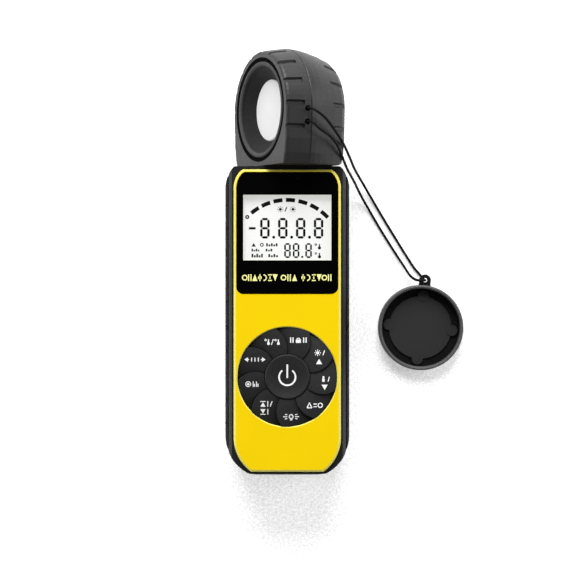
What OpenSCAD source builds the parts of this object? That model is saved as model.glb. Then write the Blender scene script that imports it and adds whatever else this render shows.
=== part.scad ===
// Handheld light meter with a turning sensor head, a petal keypad and a tethered lens cap.
// Millimetres. The meter lies on its back: +X right, +Y towards the head, +Z out of the display.
// The origin is the centre of the flat back. Parameters and angles only, one module per part.

/* [Case] */
// thickness of the case, back to face
body_t = 38; // [38:0.5:39]
// half width across the grips
case_hw = 26.35; // [26.3:0.05:26.4]
// half width of the bright front face
face_hw = 22.3; // [22.2:0.05:22.4]
// half width of the black display panel
panel_hw = 21.1; // [20.9:0.05:21.15]
// gap between the front shell and the rear shell
shell_gap = 0.35; // [0.25:0.05:0.4]
// pitch of the grip grooves
grip_pitch = 10.2; // [8:0.2:14]

/* [Keypad] */
// centre of the round keypad along the case
pad_y = -22.6; // [-23:0.1:-22]
// outer radius of the ring of keys
pad_r = 20.45; // [20.3:0.05:20.5]
// radius of the power key
power_r = 9.4; // [9.2:0.1:9.4]
// key travel
travel = 0.8; // [0.5:0.1:0.9]

/* [Head] */
// height of the head's turning axis above the back
axis_z = 27.4; // [27.3:0.1:27.5]
// turning angle at rest, 0 faces the front
head_rest = -62; // [-80:1:0]
// height of the sensor's axis along the case
eye_y = 88.8; // [88.6:0.1:89]
// grip slots around the drum
slots = 16; // [12:1:18]

/* [Cap] */
// outer radius of the cap
cap_r = 18.5; // [18.4:0.1:18.6]
// cap height
cap_h = 6.6; // [6.5:0.1:7]

/* [Cord] */
// cord diameter
cord_d = 1.1; // [0.8:0.1:1.1]

/* [Hidden] */
$fn = 64;
e = 0.01;
top_y = 65;            // end wall of the case
base_y = top_y + 0.3;  // underside of the head
split_z = 20.3;        // lower edge of the front shell
in_z = body_t - 2.4;   // underside of the front face
pcb_z = 29;            // underside of the main board
label_a = [112, 72, 32, -8, -48, -88, -128, -168, 152];
lobe_r = 9.8;          // radius of one key lobe
lobe_c = 15.1;         // distance of the lobe centres from the middle
neck_r = 6;
tilt = 18;             // lobe centre ahead of its legend

// ---------- outlines ----------
function arc(cx, cy, r, a0, a1, n) =
    [for (i = [0:n]) let (a = a0 + (a1 - a0) * i / n) [cx + r * cos(a), cy + r * sin(a)]];
function both(h) = concat(h, [for (i = [len(h) - 1:-1:0]) [-h[i][0], h[i][1]]]);
function polar(r, a) = [r * cos(a), r * sin(a)];

// outer plan of the case, inset by d
function case_half(d) = concat(
    [[6, -64.9 + d], [12, -64.2 + d]],
    arc(case_hw - 19.2, -46, 19.2 - d, -60, 0, 16),
    arc(case_hw - 13.7, 55, 13.7 - d, 0, 45, 12),
    [[21.5 - d / 2, top_y - d]]
);

// plan of the bright face, inset by d
function face_half(d) = concat(
    [[15 - d / 3, -62.1 + d]],
    arc(face_hw - 17.3, -48, 17.3 - d, -51, 0, 14),
    arc(face_hw - 9.8, 56, 9.8 - d, 0, 44, 10),
    [[18.4 - d / 2, 63.6 - d]]
);

// plan of the black display panel, inset by d
function panel_half(d) = concat(
    arc(panel_hw - 3, 14.85, 3 - d, -90, 0, 8),
    arc(panel_hw - 8.6, 55.8, 8.6 - d, 0, 48, 10),
    [[17.4, 62.4 - d]]
);

module plan(h, z0, z1) {
    translate([0, 0, z0])
        linear_extrude(height = z1 - z0)
            polygon(both(h));
}

// profile across X and Z, extruded along Y
module across(pts) {
    translate([0, 80, 0])
        rotate([90, 0, 0])
            linear_extrude(height = 160)
                polygon(pts);
}

// profile along Y and Z, extruded along X
module along(pts) {
    translate([-40, 0, 0])
        rotate([90, 0, 90])
            linear_extrude(height = 80)
                polygon(pts);
}

// solid through a stack of outlines with the same number of points each
module stack(rings, zs) {
    m = len(rings);
    n = len(rings[0]);
    polyhedron(
        points = [for (k = [0:m - 1]) for (p = rings[k]) [p[0], p[1], zs[k]]],
        faces = concat(
            [[for (i = [0:n - 1]) i]],
            [[for (i = [n - 1:-1:0]) (m - 1) * n + i]],
            [for (k = [0:m - 2]) for (i = [0:n - 1])
                [k * n + i, (k + 1) * n + i, k * n + (i + 1) % n]],
            [for (k = [0:m - 2]) for (i = [0:n - 1])
                [k * n + (i + 1) % n, (k + 1) * n + i, (k + 1) * n + (i + 1) % n]]
        )
    );
}

// ---------- case ----------
boss_at = [[-16.5, 57.4], [16.5, 57.4], [-16.8, -1.5], [16.8, -1.5]];

module shell_mass() {
    intersection() {
        plan(case_half(0), 0, body_t);
        across(both([
            [19.5, 0], [21.8, 0.7], [23.5, 2.6], [24.5, 6], [24.9, 10],
            [24.9, 29], [24.6, 31.6], [24, 34], [23.05, 36.4]
        ]));
        along([
            [-60, 0], [-62.6, 0.8], [-64.1, 3.4], [-64.9, 9], [-65.1, 17],
            [-64.7, 24], [-63.9, 31], [-63, 36.4], [top_y + 1, 36.4], [top_y + 1, 0]
        ]);
    }
}

module rear_shell() {
    color([0.17, 0.17, 0.18])
    difference() {
        union() {
            difference() {
                shell_mass();
                plan(face_half(-shell_gap), split_z - 0.3, body_t);
                plan(face_half(1.6), 2.2, split_z);
            }
            for (p = boss_at)
                translate([p[0], p[1], 1])
                    cylinder(h = 10.6, r = 3.2);
            difference() {
                translate([-17.9, -58, 1])
                    cube([35.8, 50.6, 14.2]);
                translate([-16.4, -57, 1])
                    cube([32.8, 48, 12.6]);
            }
            translate([0, -5.2, 1])
                cylinder(h = 7, r = 3);
        }
        for (p = boss_at) {
            translate([p[0], p[1], -e])
                cylinder(h = 14, r = 1.3);
            translate([p[0], p[1], -e])
                cylinder(h = 5.25, r = 2.4);
        }
        translate([-17.1, -57.4, -e])
            cube([34.2, 55.2, 1.3]);
        translate([-16.4, -56.6, 0])
            cube([32.8, 47.6, 3]);
        translate([0, -5.2, 0])
            cylinder(h = 7, r = 0.8);
        translate([0, 58, axis_z])
            rotate([-90, 0, 0])
                cylinder(h = 10, r = 7.45);
    }
}

module front_shell() {
    color([0.98, 0.84, 0.02])
    difference() {
        union() {
            difference() {
                stack(
                    [both(face_half(0)), both(face_half(0)), both(face_half(0.3)), both(face_half(0.9))],
                    [split_z, body_t - 1, body_t - 0.3, body_t]
                );
                plan(face_half(1.7), split_z - 1, in_z);
            }
            for (p = boss_at)
                translate([p[0], p[1], 11.9])
                    cylinder(h = in_z - 11.5, r = 2.7);
        }
        plan(panel_half(-0.1), body_t - 1.5, body_t + 1);
        translate([-18.7, 25.4, in_z - 1])
            cube([37.4, 28, 4]);
        translate([0, pad_y, in_z - 0.5])
            cylinder(h = 8, r = pad_r + 0.25, $fn = 128);
        translate([0, pad_y, body_t - 0.4])
            cylinder(h = 0.42, r1 = pad_r + 0.25, r2 = pad_r + 0.67, $fn = 128);
        translate([4.2, 59.7, in_z - 1])
            cylinder(h = 4, r = 0.85, $fn = 24);
        translate([0, 58, axis_z])
            rotate([-90, 0, 0])
                cylinder(h = 10, r = 7.45);
        for (p = boss_at)
            translate([p[0], p[1], 11])
                cylinder(h = 10, r = 0.95, $fn = 24);
    }
}

module grip(side) {
    color([0.22, 0.22, 0.23])
    difference() {
        intersection() {
            scale([side, 1, 1])
                plan(case_half(0), 4, 36);
            across([for (p = [
                [24.93, 6.2], [25.6, 7.6], [26.15, 12], [26.4, 19],
                [26.15, 26], [25.6, 30], [24.93, 31.4]
            ]) [side * p[0], p[1]]]);
        }
        for (i = [-4:5])
            translate([side * 26.5, 5 + i * grip_pitch, 19])
                rotate([32, 0, 0])
                    cube([2.6, 1.3, 31], center = true);
    }
}

module side_grip_left() {
    grip(-1);
}

module side_grip_right() {
    grip(1);
}

// ---------- display ----------
module display_bezel() {
    color([0.02, 0.02, 0.025])
    difference() {
        plan(panel_half(0), body_t - 1.4, body_t + 0.1);
        translate([-18.3, 25.8, body_t - 3])
            cube([36.6, 27.2, 6]);
        translate([4.2, 59.7, body_t - 3])
            cylinder(h = 6, r = 0.65, $fn = 24);
    }
}

module lcd_window() {
    color([0.9, 0.92, 0.93, 0.5])
        translate([-18.2, 25.9, body_t - 1.4])
            cube([36.4, 27, 1.5]);
}

module lcd_panel() {
    color([0.93, 0.93, 0.92])
        translate([-19.4, 24.4, 33.3])
            cube([38.8, 30, 2.1]);
}

module lcd_backlight() {
    color([0.96, 0.96, 0.96])
        translate([-15.4, 24.6, 31.1])
            cube([30.8, 29.6, 2.1]);
}

module zebra_strips() {
    color([0.85, 0.55, 0.65])
        for (s = [-1, 1])
            translate([s * 17.5 - 1.2, 25, pcb_z + 1.6])
                cube([2.4, 28.8, 2.65]);
}

// ---------- electronics ----------
module main_board() {
    color([0.05, 0.35, 0.18])
    difference() {
        translate([-19, -50, pcb_z])
            cube([38, 104.4, 1.6]);
        for (s = [-1, 1])
            translate([s * 16.8, -1.5, pcb_z - 1])
                cylinder(h = 4, r = 3);
        for (s = [-1, 1])
            translate([s * 21.5, -52.5, pcb_z - 1])
                cylinder(h = 4, r = 10.5);
    }
}

module board_chips() {
    color([0.06, 0.06, 0.07]) {
        translate([-7, 32, pcb_z - 1.3])
            cube([14, 14, 1.25]);
        translate([6, 12, pcb_z - 1.3])
            cube([8, 5, 1.25]);
        translate([-15, 4, pcb_z - 1.3])
            cube([5, 6, 1.25]);
        translate([2, 22, pcb_z - 3.2])
            cube([10, 3.6, 3.15]);
    }
}

module buzzer() {
    color([0.08, 0.08, 0.08])
        translate([-9.5, 20, pcb_z - 4.6])
            difference() {
                cylinder(h = 4.55, r = 5.5);
                translate([0, 0, -e])
                    cylinder(h = 1, r = 1.1);
            }
}

module thermistor() {
    color([0.1, 0.1, 0.1])
        translate([4.2, 59.7, 35.1])
            cylinder(h = 2.3, r = 0.6, $fn = 24);
}

module lead_socket() {
    color([0.92, 0.9, 0.84])
        translate([-4, 48, pcb_z - 5])
            difference() {
                cube([8, 6, 4.95]);
                translate([1, 3, 1])
                    cube([6, 4, 3]);
            }
}

module keypad_mat() {
    color([0.14, 0.14, 0.15])
        translate([0, pad_y, 0])
            difference() {
                translate([0, 0, 33.6])
                    cylinder(h = 0.55, r = 20.3);
                for (a = label_a)
                    translate([14.6 * cos(a), 14.6 * sin(a), 30])
                        cylinder(h = 8, r = 1.8, $fn = 24);
                translate([0, 0, 30])
                    cylinder(h = 8, r = 1.8, $fn = 24);
            }
}

module dome(x, y) {
    translate([x, y, pcb_z + 1.6])
        cylinder(h = 0.6, r1 = 2.3, r2 = 1.2, $fn = 32);
}

module dome_switches() {
    color([0.78, 0.79, 0.8])
        translate([0, pad_y, 0]) {
            dome(0, 0);
            for (a = label_a)
                dome(14.6 * cos(a), 14.6 * sin(a));
        }
}

// ---------- keys ----------
module key_stem() {
    translate([0, 0, pcb_z + 1.6 + 0.6 + travel + 0.1])
        cylinder(h = 5, r = 1.2, $fn = 24);
}

// one lobe: bounded by its own arc and by the arc of the next lobe, rising towards its own arc
module petal(k) {
    a = label_a[k];
    high = polar(lobe_c, a + tilt - 38);
    color([0.16, 0.16, 0.17])
        translate([0, pad_y, 0]) {
            intersection() {
                translate([0, 0, 35.2])
                    linear_extrude(height = 4)
                        difference() {
                            intersection() {
                                circle(r = pad_r, $fn = 128);
                                translate(polar(lobe_c, a + tilt))
                                    circle(r = lobe_r - 0.1, $fn = 96);
                            }
                            circle(r = power_r + 0.22, $fn = 96);
                            translate(polar(lobe_c, a + tilt + 40))
                                circle(r = lobe_r + 0.1, $fn = 96);
                        }
                translate([high[0], high[1], body_t + 0.6 - 52])
                    sphere(r = 52, $fn = 96);
            }
            translate(concat(polar(14.6, a), [0]))
                key_stem();
        }
}

module power_key() {
    color([0.17, 0.17, 0.18])
        translate([0, pad_y, 0]) {
            difference() {
                rotate_extrude($fn = 96)
                    polygon([[0, 35.2], [power_r, 35.2], [power_r, 38.1], [power_r - 0.5, 38.6], [0, 38.6]]);
                translate([0, 0, 37.7 + 42])
                    sphere(r = 42, $fn = 96);
            }
            key_stem();
        }
}

module unit_key() {
    petal(0);
}

module hold_key() {
    petal(1);
}

module up_key() {
    petal(2);
}

module down_key() {
    petal(3);
}

module relative_key() {
    petal(4);
}

module backlight_key() {
    petal(5);
}

module extremes_key() {
    petal(6);
}

module record_key() {
    petal(7);
}

module range_key() {
    petal(8);
}

// ---------- power ----------
module battery_cells() {
    color([0.12, 0.35, 0.62])
        for (i = [-1:1])
            translate([i * 10.9, -54, 7.7])
                rotate([-90, 0, 0]) {
                    cylinder(h = 43.7, r = 5.2);
                    cylinder(h = 44.5, r = 1.9, $fn = 32);
                }
}

module battery_springs() {
    color([0.75, 0.75, 0.76])
        for (i = [-1:1])
            translate([i * 10.9, 0, 7.7])
                rotate([90, 0, 0]) {
                    translate([0, 0, 56.5])
                        cylinder(h = 0.45, r = 4.4);
                    for (j = [0:2])
                        translate([0, 0, 54.3 + j * 0.8])
                            rotate_extrude($fn = 32)
                                translate([2 + j * 0.7, 0])
                                    circle(r = 0.3, $fn = 16);
                }
}

module battery_plates() {
    color([0.75, 0.75, 0.76])
        for (i = [-1:1])
            translate([i * 10.9 - 4, -9.45, 4])
                cube([8, 0.4, 7.6]);
}

module battery_cover() {
    color([0.18, 0.18, 0.19])
    difference() {
        union() {
            translate([-16.9, -57.2, 0])
                cube([33.8, 54.8, 1.2]);
            for (s = [-1, 1])
                translate([s * 9 - 3, -56.4, 0.6])
                    cube([6, 3, 1.9]);
        }
        translate([0, -5.2, -e])
            cylinder(h = 3, r = 1.25, $fn = 32);
        for (i = [0:4])
            translate([-6 + i * 0.4, -16 + i * 2, -e])
                cube([12 - i * 0.8, 0.8, 0.5]);
    }
}

module battery_cover_screw() {
    color([0.7, 0.7, 0.72])
        translate([0, -5.2, 0])
            difference() {
                union() {
                    translate([0, 0, 0.1])
                        cylinder(h = 1, r = 1.15, $fn = 32);
                    cylinder(h = 6, r = 0.75, $fn = 24);
                }
                cube([1.7, 0.4, 0.8], center = true);
            }
}

module case_screws() {
    color([0.7, 0.7, 0.72])
        for (p = boss_at)
            translate([p[0], p[1], 5.2])
                difference() {
                    union() {
                        translate([0, 0, -1.6])
                            cylinder(h = 1.6, r = 2.1, $fn = 32);
                        translate([0, 0, -e])
                            cylinder(h = 12, r = 0.9, $fn = 24);
                    }
                    translate([0, 0, -1.6])
                        cube([2.8, 0.6, 1.2], center = true);
                    translate([0, 0, -1.6])
                        cube([0.6, 2.8, 1.2], center = true);
                }
}

// ---------- swivel ----------
module ring_y(y0, y1, ro, ri) {
    translate([0, y0, axis_z])
        rotate([-90, 0, 0])
            difference() {
                cylinder(h = y1 - y0, r = ro);
                translate([0, 0, -1])
                    cylinder(h = y1 - y0 + 2, r = ri);
            }
}

module swivel_bush() {
    color([0.1, 0.1, 0.11]) {
        ring_y(60.2, top_y, 7.4, neck_r + 0.05);
        ring_y(59.4, 60.3, 8, neck_r + 0.05);
        translate([0, 57.3, axis_z])
            rotate([-90, 0, 0])
                linear_extrude(height = 2.2)
                    polygon(concat(
                        arc(0, 0, 7.9, 52, 128, 8),
                        arc(0, 0, 6.9, 128, 52, 8)
                    ));
    }
}

module swivel_washer() {
    color([0.8, 0.8, 0.8])
        ring_y(58.9, 59.35, 6.8, neck_r + 0.1);
}

// things in the head are drawn facing front and turned to the rest angle
module in_head() {
    translate([0, 0, axis_z])
        rotate([0, head_rest, 0])
            children();
}

module eye_axis() {
    translate([0, eye_y, 0])
        children();
}

// outline of the head at one depth: round above, slightly drawn in towards the base
function head_ring(r, y0) = concat(
    [[r - 2.9, y0], [r - 1.5, max(y0 + 0.6, base_y + 4.2)], [r - 0.6, base_y + 10]],
    arc(0, eye_y, r, -4, 87, 20)
);

module loft(levels) {
    stack([for (l = levels) both(head_ring(l[1], l[2]))], [for (l = levels) l[0]]);
}

// angles of the grip slots, alike on both sides
slot_a = [for (i = [-1:4]) for (a = [2 + i * 360 / slots, 178 - i * 360 / slots]) a];

// puts a cutter at an angle around the drum, whose sides run straight down below the axis
module on_side(a) {
    if (sin(a) < 0)
        translate([0, 25 * sin(a), 0])
            rotate([0, 0, cos(a) > 0 ? 0 : 180])
                translate([-0.3, 0, 0])
                    children();
    else
        rotate([0, 0, a])
            children();
}

// one grip slot with sloping walls
module slot_cut() {
    linear_extrude(height = 10)
        polygon([[0, -0.5], [1.2, -1.4], [4, -1.4], [4, 1.4], [1.2, 1.4], [0, 0.5]]);
}

module head_front_shell() {
    color([0.2, 0.2, 0.21])
    in_head()
        difference() {
            union() {
                difference() {
                    loft([
                        [2.45, 25.75, base_y], [2.75, 25.95, base_y], [6, 25.5, base_y],
                        [11.9, 24.5, base_y], [12.7, 24.15, base_y], [13.1, 23.6, base_y]
                    ]);
                    loft([
                        [2, 24.1, base_y + 2], [6, 23.6, base_y + 2],
                        [9.6, 22.9, base_y + 2], [10.7, 22.3, base_y + 2]
                    ]);
                }
                eye_axis()
                    for (a = [90, 210, 330])
                        rotate([0, 0, a]) {
                            translate([19.3, 0, 2.45])
                                cylinder(h = 6.3, r = 2.3, $fn = 32);
                            translate([19.3, -1, 2.45])
                                cube([a == 90 ? 5.1 : 7.9, 2, 6.3]);
                        }
            }
            eye_axis() {
                translate([0, 0, 8.9])
                    cylinder(h = 6, r = 21.75, $fn = 128);
                for (a = slot_a)
                    on_side(a)
                        translate([24.75, 0, 5.2])
                            rotate([0, -10.5, 0])
                                slot_cut();
                for (a = [90, 210, 330])
                    rotate([0, 0, a])
                        translate([19.3, 0, 2])
                            cylinder(h = 5.5, r = 0.9, $fn = 24);
            }
            for (y = [82.1, 87.5])
                translate([20, y, 4.1])
                    rotate([0, 90, 0])
                        cylinder(h = 10, r = 1.2, $fn = 32);
            neck_hole();
        }
}

module neck_hole() {
    translate([0, base_y - 5, 0])
        rotate([-90, 0, 0])
            cylinder(h = 8, r = neck_r + 0.1);
}

module head_rear_shell() {
    color([0.19, 0.19, 0.2])
    in_head()
        difference() {
            union() {
                difference() {
                    loft([
                        [-17.4, 16.5, 69], [-17, 19, 67.4], [-16, 20.8, 66.1], [-14, 22.3, base_y],
                        [-10, 23.7, base_y], [-6, 24.8, base_y], [-3, 25.5, base_y],
                        [0, 25.95, base_y], [2.05, 25.95, base_y], [2.35, 25.75, base_y]
                    ]);
                    loft([
                        [-15.3, 16.8, 70], [-13.8, 20, base_y + 2.2], [-6, 22.6, base_y + 2],
                        [0, 24.1, base_y + 2], [3, 24.1, base_y + 2]
                    ]);
                }
                eye_axis()
                    for (a = [90, 210, 330])
                        rotate([0, 0, a]) {
                            translate([19.3, 0, -14.5])
                                cylinder(h = 16.85, r = 2.4, $fn = 32);
                            translate([12, 0, -15.5])
                                cylinder(h = 13.4, r = 2, $fn = 32);
                        }
            }
            eye_axis() {
                for (a = slot_a)
                    on_side(a)
                        translate([23.6, 0, -8.3])
                            rotate([0, 22, 0])
                                translate([0, 0, -10])
                                    slot_cut();
                for (a = [90, 210, 330])
                    rotate([0, 0, a])
                        translate([19.3, 0, -20]) {
                            cylinder(h = 23, r = 1.15, $fn = 24);
                            cylinder(h = 8, r = 2, $fn = 32);
                        }
            }
            neck_hole();
        }
}

module trim_ring() {
    color([0.03, 0.03, 0.03])
    in_head()
        eye_axis()
            rotate_extrude($fn = 128)
                polygon([[20.08, 9], [21.65, 9], [21.65, 12.9], [20.08, 12.9]]);
}

module light_well() {
    color([0.24, 0.24, 0.25])
    in_head()
        eye_axis()
            rotate_extrude($fn = 128)
                polygon([
                    [14.7, -0.3], [16.6, -0.3], [16.6, 9], [20, 9], [20, 12.8], [19.7, 13.05],
                    [18.9, 13.05], [18.3, 12.6], [17.2, 11.4], [13, 8.1], [13, 5.9], [14.7, 5.9]
                ]);
}

module diffuser() {
    color([0.93, 0.93, 0.93])
    in_head()
        eye_axis()
            rotate_extrude($fn = 96)
                polygon([
                    [0, 4.4], [14.5, 4.4], [14.5, 5.8], [12.85, 5.8],
                    [12.85, 7.9], [12.4, 8.2], [7, 8.4], [0, 8.5]
                ]);
}

module filter_holder() {
    color([0.1, 0.1, 0.1])
    in_head()
        eye_axis()
            rotate_extrude()
                polygon([[5, 1.9], [14.5, 1.9], [14.5, 4.3], [13.4, 4.3], [13.4, 2.5], [5, 2.5]]);
}

module filter_glass() {
    color([0.35, 0.6, 0.5, 0.6])
    in_head()
        eye_axis()
            translate([0, 0, 2.55])
                cylinder(h = 1.4, r = 7);
}

module photodiode() {
    color([0.3, 0.1, 0.12])
    in_head()
        eye_axis()
            translate([0, 0, -0.4]) {
                cylinder(h = 0.8, r = 4.5);
                cylinder(h = 1.9, r = 3.9);
            }
}

module sensor_board() {
    color([0.05, 0.35, 0.18])
    in_head()
        eye_axis()
            difference() {
                translate([0, 0, -2])
                    cylinder(h = 1.6, r = 16.4);
                for (a = [30, 150, 270])
                    rotate([0, 0, a])
                        translate([13, 0, -3])
                            cylinder(h = 4, r = 0.8, $fn = 24);
            }
}

module head_screws() {
    color([0.7, 0.7, 0.72])
    in_head()
        eye_axis()
            for (a = [90, 210, 330])
                rotate([0, 0, a])
                    translate([19.3, 0, -12])
                        difference() {
                            union() {
                                translate([0, 0, -1.4])
                                    cylinder(h = 1.4, r = 1.8, $fn = 32);
                                translate([0, 0, -e])
                                    cylinder(h = 18, r = 0.85, $fn = 24);
                            }
                            translate([0, 0, -1.4])
                                cube([2.4, 0.5, 1.1], center = true);
                            translate([0, 0, -1.4])
                                cube([0.5, 2.4, 1.1], center = true);
                        }
}

module swivel_neck() {
    color([0.12, 0.12, 0.13])
    in_head()
        rotate([-90, 0, 0])
            rotate_extrude()
                polygon([
                    [3.5, 57], [5.6, 57], [6, 57.4], [6, 57.5], [5.2, 57.5], [5.2, 58.65], [6, 58.65],
                    [6, 67.4], [7.6, 67.4], [7.6, 68.7], [3.5, 68.7]
                ]);
}

module neck_clip() {
    color([0.8, 0.8, 0.8])
    in_head()
        translate([0, 57.6, 0])
            rotate([-90, 0, 0])
                difference() {
                    union() {
                        cylinder(h = 0.95, r = 6.7);
                        linear_extrude(height = 0.95)
                            polygon(concat(arc(0, 0, 7.9, -96, -84, 3), [[0.6, -5.5], [-0.6, -5.5]]));
                    }
                    translate([0, 0, -1])
                        cylinder(h = 3, r = 5.25);
                }
}

module head_lead() {
    color([0.06, 0.06, 0.06])
    in_head()
        translate([0, 55.8, 0])
            rotate([-90, 0, 0])
                cylinder(h = 16.4, r = 1.3, $fn = 32);
}

// ---------- cap ----------
cap_pos = [58, -2.9];
cap_turn = -5.5;
eye_dist = 20.7;

module at_cap() {
    translate([cap_pos[0], cap_pos[1], 0])
        rotate([0, 0, cap_turn])
            children();
}

module cap_shell() {
    color([0.2, 0.2, 0.2])
    at_cap() {
        rotate_extrude($fn = 128)
            polygon([
                [0, 0], [cap_r - 0.9, 0], [cap_r - 0.3, 0.25], [cap_r, 0.9], [cap_r, cap_h - 0.7],
                [cap_r - 0.2, cap_h - 0.2], [cap_r - 0.7, cap_h], [cap_r - 1.3, cap_h - 0.2],
                [cap_r - 1.6, cap_h - 0.7], [cap_r - 1.7, 1.3], [0, 1.3]
            ]);
        difference() {
            union() {
                translate([0, eye_dist, 2.6])
                    cylinder(h = 1.6, r = 2.5, $fn = 48);
                translate([-2.5, cap_r - 0.9, 2.6])
                    cube([5, eye_dist - cap_r + 0.9, 1.6]);
            }
            translate([0, eye_dist, 2])
                cylinder(h = 4, r = 0.95, $fn = 32);
        }
    }
}

module cap_insert() {
    color([0.26, 0.26, 0.26])
    at_cap()
        translate([0, 0, 1.35]) {
            cylinder(h = 0.8, r = 13.6, $fn = 128);
            for (a = [0:90:270])
                rotate([0, 0, a])
                    translate([0, 13.8, 0])
                        cylinder(h = 1.05, r = 2.4, $fn = 48);
        }
}

// ---------- cord ----------
// the doubled lanyard: out of the upper hole, over the drum, down to the bench, up through
// the cap's eye and back to the lower hole
cord_pts = [
    [7.6, 87.5, 50.4], [8.7, 87.5, 52.4], [9.7, 87.3, 54.1], [11.2, 86.5, 55], [13.2, 85.2, 54.9],
    [15.8, 83.2, 52.8], [19.3, 79.2, 47.8], [23, 74.3, 41], [26, 69.6, 30], [28.9, 65, 16.5],
    [32.3, 60.5, 6], [35.9, 54.9, 1.4], [44, 41.3, 0.6], [54, 25.2, 0.6], [57.3, 20.9, 0.6],
    [58.8, 19.1, 0.9], [59.7, 18, 1.8], [60, 17.7, 3.1], [59.9, 17.7, 4.5], [59, 17.6, 5.8],
    [57.3, 17.6, 6.3], [55.3, 18.1, 5.6], [53.2, 20, 4], [51, 23.6, 2], [48, 28.3, 0.8],
    [41.3, 38.9, 0.6], [35, 49.6, 1.2], [31.6, 55.2, 5], [28.6, 60, 15], [25.3, 64.2, 28.5],
    [23, 68.3, 38.3], [21, 72.3, 43.8], [18.6, 75.4, 48.5], [15.8, 77.4, 52.3],
    [13.2, 78.9, 54.6], [11.2, 80.7, 55.1], [9.7, 81.9, 54.1], [8.7, 82.1, 52.4], [7.6, 82.1, 50.4]
];

// points of a smooth curve through the way points
function catmull(p0, p1, p2, p3, t) = 0.5 * (
    2 * p1 + (p2 - p0) * t + (2 * p0 - 5 * p1 + 4 * p2 - p3) * t * t
    + (3 * p1 - p0 - 3 * p2 + p3) * t * t * t
);
function curve(p, k) = [for (i = [0:len(p) - 2]) for (j = [0:k - 1])
    catmull(p[max(i - 1, 0)], p[i], p[i + 1], p[min(i + 2, len(p) - 1)], j / k)];
function unit(v) = v / norm(v);

module tube(path, r, sides) {
    n = len(path);
    dirs = [for (i = [0:n - 1]) unit(path[min(i + 1, n - 1)] - path[max(i - 1, 0)])];
    // each ring's first axis is the last one's, kept square to the path
    side = [for (i = 0, u = unit(cross(dirs[0], [0.3, 1, 0.2])); i < n;
        i = i + 1, u = i < n ? unit(u - (u * dirs[i]) * dirs[i]) : u) u];
    polyhedron(
        points = [for (i = [0:n - 1]) for (s = [0:sides - 1])
            let (a = 360 * s / sides, v = cross(dirs[i], side[i]))
            path[i] + r * (cos(a) * side[i] + sin(a) * v)],
        faces = concat(
            [[for (s = [0:sides - 1]) s]],
            [[for (s = [0:sides - 1]) (n - 1) * sides + sides - 1 - s]],
            [for (i = [0:n - 2]) for (s = [0:sides - 1])
                [i * sides + s, (i + 1) * sides + s, i * sides + (s + 1) % sides]],
            [for (i = [0:n - 2]) for (s = [0:sides - 1])
                [i * sides + (s + 1) % sides, (i + 1) * sides + s,
                 (i + 1) * sides + (s + 1) % sides]]
        )
    );
}

module lanyard_cord() {
    color([0.04, 0.04, 0.04])
        tube(concat(curve(cord_pts, 2), [cord_pts[len(cord_pts) - 1]]), cord_d / 2, 8);
}

rear_shell();
front_shell();
side_grip_left();
side_grip_right();
display_bezel();
lcd_window();
lcd_panel();
lcd_backlight();
zebra_strips();
main_board();
board_chips();
buzzer();
thermistor();
lead_socket();
keypad_mat();
dome_switches();
battery_cells();
battery_springs();
battery_plates();
battery_cover();
battery_cover_screw();
case_screws();
swivel_bush();
swivel_washer();
lanyard_cord();
head_front_shell();
head_rear_shell();
trim_ring();
light_well();
diffuser();
filter_holder();
filter_glass();
photodiode();
sensor_board();
head_screws();
swivel_neck();
neck_clip();
head_lead();
power_key();
unit_key();
hold_key();
up_key();
down_key();
relative_key();
backlight_key();
extremes_key();
record_key();
range_key();
cap_shell();
cap_insert();
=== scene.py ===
"""Looks for the handheld light meter: materials, display, key symbols, lanyard, camera and light.

Lengths are in millimetres where a name or a list says so, and in metres for Blender.
"""

import math

import bmesh
import bpy
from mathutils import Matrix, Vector
from mathutils.bvhtree import BVHTree


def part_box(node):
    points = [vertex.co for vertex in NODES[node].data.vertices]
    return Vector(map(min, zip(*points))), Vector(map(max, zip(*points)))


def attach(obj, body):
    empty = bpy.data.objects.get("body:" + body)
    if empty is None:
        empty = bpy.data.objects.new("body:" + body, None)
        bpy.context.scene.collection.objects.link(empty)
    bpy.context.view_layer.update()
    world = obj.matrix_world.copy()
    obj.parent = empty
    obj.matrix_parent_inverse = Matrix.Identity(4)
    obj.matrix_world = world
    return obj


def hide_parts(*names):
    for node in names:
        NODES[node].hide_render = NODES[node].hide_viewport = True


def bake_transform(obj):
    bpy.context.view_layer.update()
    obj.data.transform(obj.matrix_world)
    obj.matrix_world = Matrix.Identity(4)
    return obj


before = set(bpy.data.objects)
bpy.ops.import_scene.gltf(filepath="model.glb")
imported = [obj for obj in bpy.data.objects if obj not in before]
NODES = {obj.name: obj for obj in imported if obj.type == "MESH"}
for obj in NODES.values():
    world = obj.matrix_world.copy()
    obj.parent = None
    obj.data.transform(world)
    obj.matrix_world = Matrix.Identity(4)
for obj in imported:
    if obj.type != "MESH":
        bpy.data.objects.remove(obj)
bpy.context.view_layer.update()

MM = 0.001


def middle(node):
    """The centre of a CAD node's box, in millimetres."""
    low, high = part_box(node)
    return (low + high) / 2 / MM


# ---------- camera ----------
# The camera looks straight down from in front of the display.
CAMERA_AT = (0.3, 14.3, 738)
LENS = 105.4

camera_data = bpy.data.cameras.new("camera")
camera_data.lens = LENS
camera_data.sensor_width = 36
camera_data.clip_start = 0.01
camera = bpy.data.objects.new("camera", camera_data)
camera.location = Vector(CAMERA_AT) * MM
bpy.context.scene.collection.objects.link(camera)
bpy.context.scene.camera = camera


# ---------- materials ----------
# The head's turning angle at rest, in degrees.
HEAD_REST = -62
# The height of the sensor's axis, in millimetres.
AXIS_Z = 27.4
# The grip grooves: lean in degrees; pitch, half width and a point on one of them in millimetres.
GRIP_LEAN = 32
GRIP_PITCH = 10.2
GRIP_HALF = 0.65
GRIP_START = (0, 5, 19)
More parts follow.
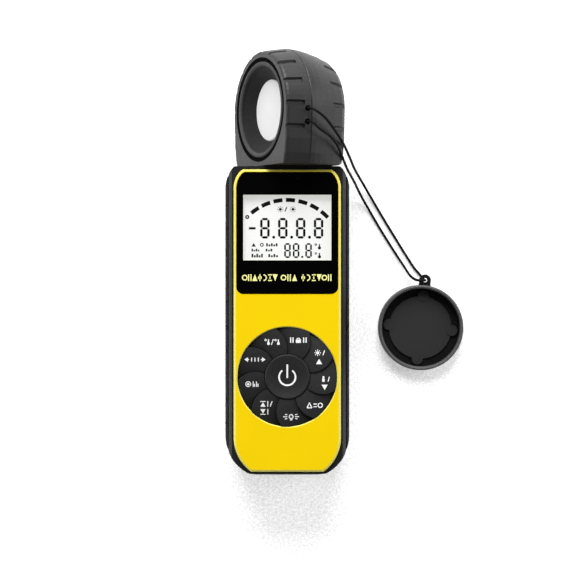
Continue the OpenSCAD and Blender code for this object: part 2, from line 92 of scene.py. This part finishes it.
# Where the painted shade gives way to the lighter colour, in millimetres: along the sensor's axis, or
# up from the bench.
WELL_SHADE_CHANGE = (12.2, 12.7)
CAP_SHADE_CHANGE = (4.2, 5.6)
KEY_SHADE_CHANGE = (36.6, 38.6)
UP = (0, 0, 1)


def principled(name, color, rough, metallic=0.0, specular=0.5):
    """A new material and its shader, with the values that are the same all over."""
    material = bpy.data.materials.new(name)
    material.use_nodes = True
    shader = material.node_tree.nodes["Principled BSDF"]
    shader.inputs["Base Color"].default_value = (*color, 1)
    shader.inputs["Roughness"].default_value = rough
    shader.inputs["Metallic"].default_value = metallic
    shader.inputs["Specular IOR Level"].default_value = specular
    return material, shader


def noise(material, scale, detail=3.0):
    """Noise in the object's own space. scale is the number of features in a metre."""
    tree = material.node_tree
    place = tree.nodes.new("ShaderNodeTexCoord")
    texture = tree.nodes.new("ShaderNodeTexNoise")
    texture.inputs["Scale"].default_value = scale
    texture.inputs["Detail"].default_value = detail
    tree.links.new(place.outputs["Object"], texture.inputs["Vector"])
    return texture.outputs["Fac"]


def spread(material, value, low, high, source=(0.3, 0.7)):
    """The value mapped from its usual range to low and high."""
    tree = material.node_tree
    node = tree.nodes.new("ShaderNodeMapRange")
    node.inputs["From Min"].default_value = source[0]
    node.inputs["From Max"].default_value = source[1]
    node.inputs["To Min"].default_value = low
    node.inputs["To Max"].default_value = high
    tree.links.new(value, node.inputs["Value"])
    return node.outputs["Result"]


def two_colors(material, value, first, second):
    """A colour that goes from first to second as the value goes from 0 to 1."""
    tree = material.node_tree
    node = tree.nodes.new("ShaderNodeValToRGB")
    node.color_ramp.elements[0].color = (*first, 1)
    node.color_ramp.elements[1].color = (*second, 1)
    tree.links.new(value, node.inputs["Fac"])
    return node.outputs["Color"]


def depth_colors(material, shader, direction, start, end, first, second):
    """Colour that changes between two distances, in metres, along a direction in the object."""
    tree = material.node_tree
    place = tree.nodes.new("ShaderNodeTexCoord")
    along = tree.nodes.new("ShaderNodeVectorMath")
    along.operation = "DOT_PRODUCT"
    along.inputs[1].default_value = direction
    tree.links.new(place.outputs["Object"], along.inputs[0])
    way = spread(material, along.outputs["Value"], 0, 1, (start, end))
    mix = tree.nodes.new("ShaderNodeMix")
    mix.data_type = "RGBA"
    grain = spread(material, noise(material, 900), 0.85, 1.15)
    tree.links.new(way, mix.inputs["Factor"])
    for name, color in (("A", first), ("B", second)):
        shade = tree.nodes.new("ShaderNodeVectorMath")
        shade.operation = "SCALE"
        shade.inputs[0].default_value = color
        tree.links.new(grain, shade.inputs["Scale"])
        tree.links.new(shade.outputs["Vector"], mix.inputs[name])
    tree.links.new(mix.outputs["Result"], shader.inputs["Base Color"])


def well_plastic():
    """The sensor's well: dull, darkened deep inside with painted shade, with a paler lip at its mouth.
    """
    material = moulded("well_plastic", (0.03, 0.03, 0.03), 0.6, specular=0.12)
    turn = math.radians(HEAD_REST)
    axis = (math.sin(turn), 0, math.cos(turn))
    base = Vector((0, 0, AXIS_Z)).dot(Vector(axis))
    shader = material.node_tree.nodes["Principled BSDF"]
    start, end = ((base + n) * MM for n in WELL_SHADE_CHANGE)
    # Painted shade: the well is coloured darker deep inside, where the cavity lies in shade, than at
    # its lip.
    inside, lip = (0.012, 0.012, 0.012), (0.05, 0.05, 0.05)
    depth_colors(material, shader, axis, start, end, inside, lip)
    return material


def cap_plastic():
    """The cap: nearly black with painted shade in the gap around its disc, grey on the rim."""
    material = moulded("cap_plastic", (0.05, 0.05, 0.05), 0.45, specular=0.3)
    shader = material.node_tree.nodes["Principled BSDF"]
    start, end = (z * MM for z in CAP_SHADE_CHANGE)
    # Painted shade: low in the cap, the gap is coloured nearly black where it lies in shade.
    gap, rim = (0.002, 0.002, 0.002), (0.075, 0.075, 0.075)
    depth_colors(material, shader, UP, start, end, gap, rim)
    return material


def grip_rubber():
    """Rubber whose slanted grooves run on, shallow, over the edges of the grips, as bump and painted
    shade.
    """
    material = moulded(
        "grip_rubber", (0.016, 0.016, 0.0155), 0.8, grain=1800, depth=0.00006, specular=0.1,
    )
    tree = material.node_tree
    shader = tree.nodes["Principled BSDF"]
    lean = math.radians(GRIP_LEAN)
    pitch = GRIP_PITCH * math.cos(lean)
    start = Vector(GRIP_START) * MM
    half = GRIP_HALF * MM
    across = Vector((0, math.cos(lean), math.sin(lean)))
    place = tree.nodes.new("ShaderNodeTexCoord")
    dot = tree.nodes.new("ShaderNodeVectorMath")
    dot.operation = "DOT_PRODUCT"
    dot.inputs[1].default_value = across
    tree.links.new(place.outputs["Object"], dot.inputs[0])
    moved_on = tree.nodes.new("ShaderNodeMath")
    moved_on.operation = "SUBTRACT"
    moved_on.inputs[1].default_value = start.dot(across)
    tree.links.new(dot.outputs["Value"], moved_on.inputs[0])
    away = tree.nodes.new("ShaderNodeMath")
    away.operation = "PINGPONG"
    away.inputs[1].default_value = pitch / 2
    tree.links.new(moved_on.outputs["Value"], away.inputs[0])
    rise = spread(material, away.outputs["Value"], 0, 1, (half, half * 1.7))
    # Painted shade: the grooves are coloured nearly black, as if shaded, over the rubber's own dark
    # grey.
    color = two_colors(material, rise, (0.001, 0.001, 0.001), (0.012, 0.012, 0.0115))
    tree.links.new(color, shader.inputs["Base Color"])
    bump(material, shader, rise, 0.5, 0.0003)
    return material


def key_rubber():
    """Moulded rubber keys with painted shade and painted highlight: darker low down, paler where each
    lobe rises to overlap the next.
    """
    material = moulded(
        "key_rubber", (0.016, 0.016, 0.017), 0.5, grain=2200, depth=0.00002, specular=0.3,
    )
    shader = material.node_tree.nodes["Principled BSDF"]
    start, end = (z * MM for z in KEY_SHADE_CHANGE)
    # Painted shade and painted highlight: each lobe is coloured darker low under its neighbour and
    # paler at its raised edge.
    low, high = (0.001, 0.001, 0.001), (0.0145, 0.0145, 0.015)
    depth_colors(material, shader, UP, start, end, low, high)
    return material


def bump(material, shader, value, strength, depth):
    """Relief of the given depth in metres."""
    tree = material.node_tree
    node = tree.nodes.new("ShaderNodeBump")
    node.inputs["Strength"].default_value = strength
    node.inputs["Distance"].default_value = depth
    tree.links.new(value, node.inputs["Height"])
    tree.links.new(node.outputs["Normal"], shader.inputs["Normal"])


def moulded(name, color, rough, change=0.12, grain=2600, depth=0.00003, specular=0.5, cloud=60):
    """Moulded plastic: slow colour drift, uneven gloss and a fine spark-eroded grain."""
    material, shader = principled(name, color, rough, specular=specular)
    drift = noise(material, cloud)
    dark = [c * (1 - change) for c in color]
    light = [min(c * (1 + change), 1) for c in color]
    link = material.node_tree.links.new
    link(two_colors(material, spread(material, drift, 0, 1), dark, light), shader.inputs["Base Color"])
    fine = noise(material, grain, 2)
    link(spread(material, fine, rough * 0.85, rough * 1.15), shader.inputs["Roughness"])
    bump(material, shader, fine, 0.35, depth)
    return material


def metal(name, color, rough):
    """Plated or rolled metal with fine scratches in its gloss."""
    material, shader = principled(name, color, rough, metallic=1.0)
    fine = noise(material, 1800, 5)
    uneven = spread(material, fine, rough * 0.7, rough * 1.4)
    material.node_tree.links.new(uneven, shader.inputs["Roughness"])
    bump(material, shader, fine, 0.15, 0.00001)
    return material


def yellow_plastic():
    """Bright satin plastic with a painted highlight: its rounded edges are coloured paler where light
    catches them.
    """
    material = moulded(
        "yellow_plastic", (0.78, 0.55, 0.0), 0.42, change=0.015, depth=0.00001, specular=0.15,
    )
    tree = material.node_tree
    shader = tree.nodes["Principled BSDF"]
    body = shader.inputs["Base Color"].links[0].from_socket
    split = tree.nodes.new("ShaderNodeSeparateXYZ")
    place = tree.nodes.new("ShaderNodeTexCoord")
    tree.links.new(place.outputs["Normal"], split.inputs["Vector"])
    # Painted highlight: where the surface tilts away from straight up, the colour turns pale yellow.
    painted_edge_highlight = spread(material, split.outputs["Z"], 1, 0, (0.93, 0.985))
    mix = tree.nodes.new("ShaderNodeMix")
    mix.data_type = "RGBA"
    mix.inputs["B"].default_value = (0.72, 0.66, 0.14, 1)
    tree.links.new(painted_edge_highlight, mix.inputs["Factor"])
    tree.links.new(body, mix.inputs["A"])
    tree.links.new(mix.outputs["Result"], shader.inputs["Base Color"])
    return material


def clear_plastic():
    """Thin clear window: lets the display show and keeps a little gloss."""
    material, shader = principled("clear_plastic", (0.02, 0.02, 0.02), 0.05)
    shader.inputs["Alpha"].default_value = 0.06
    uneven = spread(material, noise(material, 90), 0.03, 0.09)
    material.node_tree.links.new(uneven, shader.inputs["Roughness"])
    return material


def glowing_white():
    """The reflective ground of the display, glowing as its backlight; the glow is also set strong to
    wash out shade on it, as painted light.
    """
    material, shader = principled("display_ground", (0.5, 0.5, 0.5), 0.5, specular=0.2)
    drift = spread(material, noise(material, 30), 0, 1)
    tint = two_colors(material, drift, (0.49, 0.5, 0.49), (0.51, 0.51, 0.5))
    material.node_tree.links.new(tint, shader.inputs["Base Color"])
    # Partly painted light: the glow stands for the backlight and evens out the bezel's shade on the
    # display.
    shader.inputs["Emission Color"].default_value = (1, 1, 0.99, 1)
    shader.inputs["Emission Strength"].default_value = 0.58
    return material


def braided():
    """Braided cord: small slanted strands, from the tube's own around and along coordinates."""
    material, shader = principled("black_braid", (0.002, 0.002, 0.002), 0.7, specular=0.12)
    tree = material.node_tree
    place = tree.nodes.new("ShaderNodeTexCoord")
    waves = []
    for turn in (1, -1):
        lean = tree.nodes.new("ShaderNodeMapping")
        lean.inputs["Rotation"].default_value = (0, 0, turn * math.radians(45))
        wave = tree.nodes.new("ShaderNodeTexWave")
        wave.inputs["Scale"].default_value = 1.6
        tree.links.new(place.outputs["UV"], lean.inputs["Vector"])
        tree.links.new(lean.outputs["Vector"], wave.inputs["Vector"])
        waves.append(wave.outputs["Fac"])
    top = tree.nodes.new("ShaderNodeMath")
    top.operation = "MAXIMUM"
    tree.links.new(waves[0], top.inputs[0])
    tree.links.new(waves[1], top.inputs[1])
    strands = top.outputs["Value"]
    color = two_colors(material, strands, (0.0005, 0.0005, 0.0005), (0.006, 0.006, 0.006))
    tree.links.new(color, shader.inputs["Base Color"])
    bump(material, shader, strands, 0.6, 0.00008)
    return material


LOOKS = {
    "dark": moulded("dark_plastic", (0.012, 0.012, 0.013), 0.6, specular=0.12),
    "yellow": yellow_plastic(),
    "rubber": grip_rubber(),
    "gloss": moulded(
        "black_gloss", (0.001, 0.001, 0.001), 0.12, grain=300, depth=0.000002, specular=0.3,
    ),
    "window": clear_plastic(),
    "ground": glowing_white(),
    "zebra": moulded("zebra_rubber", (0.75, 0.35, 0.42), 0.6),
    "board": moulded("circuit_green", (0.008, 0.09, 0.035), 0.35, change=0.3, grain=900),
    "black": moulded("black_plastic", (0.01, 0.01, 0.01), 0.45),
    "cream": moulded("cream_plastic", (0.8, 0.76, 0.64), 0.5),
    "key": key_rubber(),
    "steel": metal("plated_steel", (0.72, 0.72, 0.74), 0.28),
    "wrap": moulded("battery_wrap", (0.02, 0.12, 0.35), 0.3, change=0.25),
    "braid": braided(),
    "head": moulded("head_plastic", (0.014, 0.014, 0.0145), 0.45, grain=2400, specular=0.4),
    "well": well_plastic(),
    "groove": moulded("groove_black", (0.001, 0.001, 0.001), 0.8, specular=0.02),
    "diffuser": moulded(
        "diffuser_white", (0.66, 0.66, 0.66), 0.55, change=0.02, depth=0.00001, specular=0.2,
    ),
    "filter": moulded("filter_green", (0.12, 0.32, 0.2), 0.1),
    "cap": cap_plastic(),
    "disc": moulded("cap_disc_plastic", (0.023, 0.023, 0.023), 0.6, change=0.04, specular=0.2),
    "ink_white": moulded("white_ink", (0.8, 0.8, 0.8), 0.5, change=0.03, depth=0.000005),
    "ink_yellow": moulded("pale_yellow_ink", (0.85, 0.84, 0.3), 0.5, change=0.03, depth=0.000005),
    "crystal": moulded(
        "display_black", (0.003, 0.003, 0.003), 0.5, change=0.2, depth=0.000005, specular=0.1,
    ),
}
PAINT = {
    "dark": ["rear_shell", "battery_cover"],
    "yellow": ["front_shell"],
    "rubber": ["side_grip_left", "side_grip_right"],
    "gloss": ["display_bezel"],
    "window": ["lcd_window"],
    "ground": ["lcd_panel", "lcd_backlight"],
    "zebra": ["zebra_strips"],
    "board": ["main_board", "sensor_board"],
    "black": ["board_chips", "buzzer", "thermistor", "filter_holder", "swivel_bush", "head_lead"],
    "cream": ["lead_socket"],
    "key": [
        "keypad_mat", "power_key", "unit_key", "hold_key", "up_key", "down_key",
        "relative_key", "backlight_key", "extremes_key", "record_key", "range_key",
    ],
    "steel": [
        "dome_switches", "battery_springs", "battery_plates", "battery_cover_screw",
        "case_screws", "swivel_washer", "neck_clip", "head_screws", "photodiode",
    ],
    "wrap": ["battery_cells"],
    "braid": ["lanyard_cord"],
    "head": ["head_front_shell", "head_rear_shell", "swivel_neck"],
    "well": ["light_well"],
    "groove": ["trim_ring"],
    "diffuser": ["diffuser"],
    "filter": ["filter_glass"],
    "cap": ["cap_shell"],
    "disc": ["cap_insert"],
}
for look, names in PAINT.items():
    for name in names:
        mesh = NODES[name].data
        mesh.materials.clear()
        mesh.materials.append(LOOKS[look])


# ---------- lanyard ----------
# The doubled loop, out of the head's upper hole, through the cap's eye and back, in millimetres.
# The points are given one by one.
ROUTE = [
    (7.6, 87.5, 50.4), (8.7, 87.5, 52.4), (9.7, 87.3, 54.1), (11.2, 86.5, 55), (13.2, 85.2, 54.9),
    (15.8, 83.2, 52.8), (19.3, 79.2, 47.8), (23, 74.3, 41), (26, 69.6, 30), (28.9, 65, 16.5),
    (32.3, 60.5, 6), (35.9, 54.9, 1.4), (44, 41.3, 0.6), (54, 25.2, 0.6), (57.3, 20.9, 0.6),
    (58.8, 19.1, 0.9), (59.7, 18, 1.8), (60, 17.7, 3.1), (59.9, 17.7, 4.5), (59, 17.6, 5.8),
    (57.3, 17.6, 6.3), (55.3, 18.1, 5.6), (53.2, 20, 4), (51, 23.6, 2), (48, 28.3, 0.8),
    (41.3, 38.9, 0.6), (35, 49.6, 1.2), (31.6, 55.2, 5), (28.6, 60, 15), (25.3, 64.2, 28.5),
    (23, 68.3, 38.3), (21, 72.3, 43.8), (18.6, 75.4, 48.5), (15.8, 77.4, 52.3),
    (13.2, 78.9, 54.6), (11.2, 80.7, 55.1), (9.7, 81.9, 54.1), (8.7, 82.1, 52.4), (7.6, 82.1, 50.4),
]
CORD_D = 1.1
CORD_SIDES = 12
CORD_STEPS = 6


def smooth(points, steps):
    """Points of a smooth curve through the given ones."""
    last = len(points) - 1
    found = []
    for i in range(last):
        p0, p1, p2, p3 = (points[j] for j in (max(i - 1, 0), i, i + 1, min(i + 2, last)))
        for j in range(steps):
            t = j / steps
            found.append(0.5 * (
                2 * p1 + (p2 - p0) * t + (2 * p0 - 5 * p1 + 4 * p2 - p3) * t * t
                + (3 * p1 - p0 - 3 * p2 + p3) * t * t * t
            ))
    return found + [points[last]]


def tube(name, path, radius, sides):
    """A closed round tube along a path in metres. Its UVs run around it and along it."""
    lengths = [0.0]
    for a, b in zip(path, path[1:]):
        lengths.append(lengths[-1] + (b - a).length)
    ways = [
        (path[min(i + 1, len(path) - 1)] - path[max(i - 1, 0)]).normalized() for i in range(len(path))
    ]
    side = ways[0].cross(Vector((0.3, 1, 0.2))).normalized()
    bm = bmesh.new()
    uv = bm.loops.layers.uv.new("around_along")
    rings = []
    for point, way in zip(path, ways):
        side = (side - way * side.dot(way)).normalized()
        other = way.cross(side)
        angles = [2 * math.pi * s / sides for s in range(sides)]
        rings.append([
            bm.verts.new(point + radius * (math.cos(a) * side + math.sin(a) * other)) for a in angles
        ])
    around = 2 * math.pi * radius
    for i in range(len(rings) - 1):
        for s in range(sides):
            n = (s + 1) % sides
            face = bm.faces.new((rings[i][s], rings[i][n], rings[i + 1][n], rings[i + 1][s]))
            face.smooth = True
            corners = ((s, i), (s + 1, i), (s + 1, i + 1), (s, i + 1))
            for loop, (u, v) in zip(face.loops, corners):
                loop[uv].uv = (u / sides * 4, lengths[v] / around * 4)
    bm.faces.new(list(reversed(rings[0])))
    bm.faces.new(rings[-1])
    mesh = bpy.data.meshes.new(name)
    bm.to_mesh(mesh)
    bm.free()
    piece = bpy.data.objects.new(name, mesh)
    bpy.context.scene.collection.objects.link(piece)
    return piece


cord_path = smooth([Vector(p) * MM for p in ROUTE], CORD_STEPS)
lanyard = tube("lanyard", cord_path, CORD_D / 2 * MM, CORD_SIDES)
lanyard.data.materials.append(LOOKS["braid"])
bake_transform(lanyard)
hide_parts("lanyard_cord")


# ---------- flat shapes ----------
# A shape is a list of faces, and a face is a list of points in millimetres, counterclockwise.
def bar(a, b, width):
    """A straight stroke from a to b."""
    a, b = Vector(a), Vector(b)
    side = (b - a).normalized().orthogonal() * width / 2
    return [[a - side, b - side, b + side, a + side]]


def pointed(a, b, width):
    """One stroke of a seven-segment figure: a bar with pointed ends."""
    a, b = Vector(a), Vector(b)
    way = (b - a).normalized() * width / 2
    side = way.orthogonal()
    return [[a, a + way - side, b - way - side, b, b - way + side, a + way + side]]


def arc_points(centre, radius, start, end, steps):
    """Points on an arc. Angles are in degrees, counterclockwise from +X."""
    x, y = centre
    angles = [math.radians(start + (end - start) * i / steps) for i in range(steps + 1)]
    return [Vector((x + radius * math.cos(a), y + radius * math.sin(a))) for a in angles]


def disc(centre, radius, steps=20):
    """A filled circle."""
    return [arc_points(centre, radius, 0, 360, steps)[:-1]]


def ring(centre, outer, inner, start=0, end=360, steps=24):
    """A ring, or a part of one."""
    far = arc_points(centre, outer, start, end, steps)
    near = arc_points(centre, inner, start, end, steps)
    return [[near[i], far[i], far[i + 1], near[i + 1]] for i in range(steps)]


def triangle(centre, width, height):
    """A filled triangle. A negative height points it down."""
    x, y = centre
    half, rise = width / 2, height / 2
    points = [Vector((x - half, y - rise)), Vector((x + half, y - rise)), Vector((x, y + rise))]
    return [points if height > 0 else points[::-1]]


def block(x0, y0, x1, y1):
    """An upright rectangle between two corners."""
    return [[Vector((x0, y0)), Vector((x1, y0)), Vector((x1, y1)), Vector((x0, y1))]]


def moved(shape, x, y):
    """The shape shifted by x and y."""
    return [[p + Vector((x, y)) for p in face] for face in shape]


def sun(radius):
    """A disc with eight rays."""
    shape = disc((0, 0), radius * 0.48)
    for i in range(8):
        way = Vector((math.cos(i * math.pi / 4), math.sin(i * math.pi / 4)))
        shape += bar(way * radius * 0.68, way * radius, radius * 0.22)
    return shape


def figure_eight(x, y, width, height, stroke):
    """All seven strokes of a display figure whose lower left corner is at x, y."""
    left, right = x + stroke / 2, x + width - stroke / 2
    low, mid, high = y + stroke / 2, y + height / 2, y + height - stroke / 2
    gap = stroke * 0.14
    shape = []
    for level in (low, mid, high):
        shape += pointed((left + gap, level), (right - gap, level), stroke)
    for edge in (left, right):
        shape += pointed((edge, low + gap), (edge, mid - gap), stroke)
        shape += pointed((edge, mid + gap), (edge, high - gap), stroke)
    return shape


def surface_of(node):
    """The height of a CAD node's upper side above a place in metres."""
    tree = BVHTree.FromObject(NODES[node], bpy.context.evaluated_depsgraph_get())

    def height(x, y):
        hit = tree.ray_cast(Vector((x, y, 0.1)), Vector((0, 0, -1)))[0]
        return hit.z

    return height


def inlay(name, shape, look, body, height, proud=0.03, deep=0.08):
    """A printed or moulded-in mark: thin closed solids that follow the surface under them."""
    bm = bmesh.new()
    for face in shape:
        bm.faces.new([bm.verts.new((p.x * MM, p.y * MM, 0)) for p in face])
    bmesh.ops.remove_doubles(bm, verts=bm.verts[:], dist=1e-8)
    low = bmesh.ops.extrude_face_region(bm, geom=bm.faces[:])["geom"]
    under = {v for v in low if isinstance(v, bmesh.types.BMVert)}
    for vert in bm.verts:
        level = height(vert.co.x, vert.co.y)
        vert.co.z = level - deep * MM if vert in under else level + proud * MM
    bmesh.ops.recalc_face_normals(bm, faces=bm.faces[:])
    mesh = bpy.data.meshes.new(name)
    bm.to_mesh(mesh)
    bm.free()
    mesh.materials.append(LOOKS[look])
    piece = bpy.data.objects.new(name, mesh)
    bpy.context.scene.collection.objects.link(piece)
    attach(piece, body)


# ---------- display ----------
panel_top = surface_of("lcd_panel")
# The arc of dashes: centre, radius, dash length and thickness in millimetres; where it starts from
# the upright and the step between dashes in degrees.
ARC_CENTRE = (0, 27.9)
ARC_R = 23.1
ARC_START = 35.7
DASH_PITCH = 13
DASH_LONG = 3.8
DASH_THICK = 1.65

dashes = []
half_dash = math.degrees(DASH_LONG / 2 / ARC_R)
for i in range(7):
    turn = 90 + ARC_START - i * DASH_PITCH
    far, near = ARC_R + DASH_THICK / 2, ARC_R - DASH_THICK / 2
    dashes += ring(ARC_CENTRE, far, near, turn - half_dash, turn + half_dash, 4)
dashes += ring(arc_points(ARC_CENTRE, ARC_R, 136.2, 136.2, 1)[0], 0.85, 0.3)
inlay("display_arc", dashes, "crystal", "casing", panel_top)

figures = block(-16, 38.7, -13.2, 39.65)
for i in range(4):
    figures += figure_eight(-11.3 + i * 7.45, 34.9, 3.95, 8.6, 1.0)
for i in range(3):
    figures += disc((-5.65 + i * 7.45, 35.45), 0.62)
inlay("display_figures", figures, "crystal", "casing", panel_top)

small = []
for x in (-1.3, 2.3, 7.5):
    small += figure_eight(x, 26.8, 2.75, 6.2, 0.74)
small += disc((6.2, 27.25), 0.46)
inlay("display_small_figures", small, "crystal", "casing", panel_top)


def tick_row(x0, x1, y, height, count):
    """A short row of upright strokes and low blocks, as large as a line of small letters."""
    shape = []
    step = (x1 - x0) / count
    for i in range(count):
        x = x0 + step * i
        if i % 2 == 0:
            shape += block(x, y - height / 2, x + step * 0.72, y + height / 2)
        else:
            shape += block(x, y - height / 2, x + step * 0.72, y + height * 0.1)
    return shape


marks = moved(sun(1.25), -2.9, 47.1)
marks += bar((-1.0, 46.2), (-0.2, 48), 0.45)
marks += moved(sun(1.25), 2.4, 47.1)
marks += triangle((-14, 32.3), 1.8, 1.5)
marks += ring((-10.6, 32.3), 0.8, 0.4)
marks += tick_row(-8.8, -3.8, 32.3, 1.3, 5)
marks += tick_row(-14.9, -11.4, 30.1, 1.1, 4) + tick_row(-9, -6, 30.1, 1.1, 3)
marks += tick_row(-14.9, -9.9, 27.8, 1.5, 5) + tick_row(-7.9, -3.6, 27.8, 1.3, 4)
for y in (31.6, 27.9):
    marks += ring((11.9, y + 0.8), 0.5, 0.2)
    marks += bar((13.4, y + 1.0), (13.4, y - 0.5), 0.5) + disc((13.4, y - 0.6), 0.65)
inlay("display_marks", marks, "crystal", "casing", panel_top)

# ---------- caption line ----------
# Left edge, right edge and number of signs of each group.
CAPTION_GROUPS = ((-18.7, -4.0, 7), (-2.7, 4.2, 3), (5.5, 18.7, 6))


def caption_marks():
    """Plain signs in three groups, as large as a line of capitals."""
    top, side, stroke = 1.4, 0.8, 0.48
    signs = [
        ring((0, 0), 1.2, 0.72),
        bar((-0.5, -top), (-0.5, top), stroke) + bar((0.5, -top), (0.5, top), stroke),
        triangle((0, 0), 2.1, 2 * top),
        bar((0, -top), (0, top), stroke) + disc((0, 0), 0.8),
        ring((-0.6, 0), top, top - stroke, -90, 90, 12),
        block(-side, -top, side, -top + stroke) + block(-side, top - stroke, side, top)
        + bar((0, -0.5), (0, 0.5), stroke),
        triangle((0, 0), 2.1, -2 * top),
    ]
    shape = []
    number = 0
    for start, end, count in CAPTION_GROUPS:
        step = (end - start) / count
        for i in range(count):
            shape += moved(signs[number % len(signs)], start + step * (i + 0.5), 18.6)
            number += 1
    return shape


bezel_top = surface_of("display_bezel")
inlay("caption", caption_marks(), "ink_yellow", "casing", bezel_top)

# ---------- key symbols ----------
STROKE = 0.42


def power_symbol():
    gap = 37
    shape = ring((0, -0.1), 3.75, 3.05, 90 + gap, 450 - gap, 40)
    return shape + bar((0, -0.5), (0, 5.2), 0.7)


def thermometer(x):
    return bar((x, 1.1), (x, -0.4), 0.5) + disc((x, -0.65), 0.6) + ring((x - 1.2, 0.8), 0.48, 0.2)


def unit_symbol():
    return thermometer(-1.5) + bar((-0.3, -1.2), (0.5, 1.2), 0.36) + thermometer(2.6)


def hold_symbol():
    shape = block(-1.05, -1.15, 1.05, 0.2) + ring((0, 0.2), 0.8, 0.42, 0, 180, 12)
    for x in (-3.2, -2.2, 2.2, 3.2):
        shape += bar((x, -1.1), (x, 1.1), 0.48)
    return shape


def up_symbol():
    shape = moved(sun(1.35), -0.6, 3.6) + bar((1.6, 2.6), (2.3, 4.6), 0.36)
    return shape + triangle((0, 0), 2.6, 2.2)


def down_symbol():
    shape = block(-1.0, 2.3, 0.0, 3.7) + disc((-0.5, 4.2), 0.42) + bar((1.4, 2.4), (2.0, 4.4), 0.36)
    return shape + triangle((0, 0), 2.6, -2.2)


def relative_symbol():
    shape = bar((-3.1, -1.0), (-2.1, 1.1), STROKE) + bar((-2.1, 1.1), (-1.1, -1.0), STROKE)
    shape += block(-3.1, -1.2, -1.1, -0.8)
    shape += block(-0.4, -0.75, 1.0, -0.35) + block(-0.4, 0.35, 1.0, 0.75)
    return shape + ring((2.4, 0), 1.1, 0.68)


def backlight_symbol():
    shape = ring((0, 0.35), 1.0, 0.6) + block(-0.5, -1.2, 0.5, -0.75)
    for side in (-1, 1):
        for y, far in ((1.1, 2.6), (0.3, 3.3), (-0.5, 2.6)):
            shape += bar((side * 1.6, y), (side * far, y + (y - 0.3) * 0.2), 0.36)
    return shape


def extremes_symbol():
    shape = triangle((-1.2, 1.3), 2.2, 1.9) + block(-2.3, 2.35, -0.1, 2.7)
    shape += block(0.6, 0.4, 1.0, 2.7) + bar((1.8, 0.4), (2.6, 2.6), 0.36)
    shape += triangle((-1.2, -1.6), 2.2, -1.9) + block(-2.3, -3.0, -0.1, -2.65)
    return shape + block(0.6, -2.9, 1.0, -0.6)


def record_symbol():
    shape = ring((-1.9, 0), 1.2, 0.85) + disc((-1.9, 0), 0.55)
    for x in (0.3, 1.7):
        shape += block(x - 0.35, -1.1, x + 0.05, 1.1) + block(x + 0.25, -1.1, x + 0.65, 0.2)
    return shape


def range_symbol():
    shape = block(-3.0, -0.2, 3.0, 0.2)
    for side in (-1, 1):
        tip, back = side * 4.4, side * 2.9
        face = [Vector((tip, 0)), Vector((back, 1.0)), Vector((back, -1.0))]
        shape += [face if side < 0 else face[::-1]]
    for x in (-1.4, 0, 1.4):
        shape += bar((x, -0.8), (x, 0.8), STROKE)
    return shape


pad = middle("power_key")
SYMBOLS = {
    "power_key": (power_symbol, 0, 0),
    "unit_key": (unit_symbol, -6.3, 14.5),
    "hold_key": (hold_symbol, 4.6, 15.3),
    "up_key": (up_symbol, 13.2, 6.4),
    "down_key": (down_symbol, 15.5, -4.3),
    "relative_key": (relative_symbol, 11.3, -11.8),
    "backlight_key": (backlight_symbol, 1.6, -16.8),
    "extremes_key": (extremes_symbol, -8.9, -12.7),
    "record_key": (record_symbol, -14.3, -3.0),
    "range_key": (range_symbol, -13.4, 7.2),
}
for key, (draw, x, y) in SYMBOLS.items():
    shape = moved(draw(), pad.x + x, pad.y + y)
    inlay(key + "_symbol", shape, "ink_white", key, surface_of(key))


# ---------- stage ----------
def plane(name, half, z):
    """A level square of the stage, in metres."""
    mesh = bpy.data.meshes.new(name)
    corners = [(-half, -half, z), (half, -half, z), (half, half, z), (-half, half, z)]
    mesh.from_pydata(corners, [], [(0, 1, 2, 3)])
    piece = bpy.data.objects.new(name, mesh)
    bpy.context.scene.collection.objects.link(piece)
    return piece


floor = plane("floor", 4, -0.00005)
FLOOR_WHITE = (0.92, 0.92, 0.92)
FLOOR_FAR = (0.12, 0.12, 0.12)
floor_look, floor_shader = principled("floor_white", FLOOR_WHITE, 0.9, specular=0.0)
depth_colors(floor_look, floor_shader, (0, 1, 0), -0.5, -0.15, FLOOR_FAR, FLOOR_WHITE)
floor_tint = floor_shader.inputs["Base Color"].links[0].from_socket
floor_look.node_tree.links.new(floor_tint, floor_shader.inputs["Emission Color"])
floor_shader.inputs["Emission Strength"].default_value = 0.45
floor.data.materials.append(floor_look)


def area_light(name, place, size, power):
    """A square soft light that faces the middle of the part."""
    data = bpy.data.lights.new(name, "AREA")
    data.size = size
    data.energy = power
    light = bpy.data.objects.new(name, data)
    light.location = place
    aim = Vector((0.02, 0.02, 0.02)) - Vector(place)
    light.rotation_euler = aim.to_track_quat("-Z", "Y").to_euler()
    bpy.context.scene.collection.objects.link(light)


area_light("key", (-0.1, 1.35, 1.0), 1.1, 38)
area_light("left", (-1.5, 0.1, 0.6), 0.9, 8)
area_light("right", (1.5, 0.5, 0.8), 1.0, 10)
area_light("front", (-0.2, -1.2, 1.4), 1.4, 3)


def sky():
    """A pale studio: dark overhead so that flat gloss stays black, and brighter behind the head."""
    world = bpy.data.worlds.new("studio")
    world.use_nodes = True
    tree = world.node_tree
    background = tree.nodes["Background"]
    place = tree.nodes.new("ShaderNodeTexCoord")
    split = tree.nodes.new("ShaderNodeSeparateXYZ")
    ramp = tree.nodes.new("ShaderNodeValToRGB")
    ramp.color_ramp.elements[0].position = 0.45
    ramp.color_ramp.elements[0].color = (1, 1, 1, 1)
    ramp.color_ramp.elements[1].position = 0.85
    ramp.color_ramp.elements[1].color = (0.02, 0.02, 0.02, 1)
    side = tree.nodes.new("ShaderNodeMapRange")
    side.inputs["From Min"].default_value = -1
    side.inputs["To Min"].default_value = 0.25
    side.inputs["To Max"].default_value = 0.85
    tree.links.new(place.outputs["Generated"], split.inputs["Vector"])
    tree.links.new(split.outputs["Z"], ramp.inputs["Fac"])
    tree.links.new(split.outputs["Y"], side.inputs["Value"])
    tree.links.new(ramp.outputs["Color"], background.inputs["Color"])
    tree.links.new(side.outputs["Result"], background.inputs["Strength"])
    bpy.context.scene.world = world


sky()
bpy.context.scene.view_settings.view_transform = "Standard"
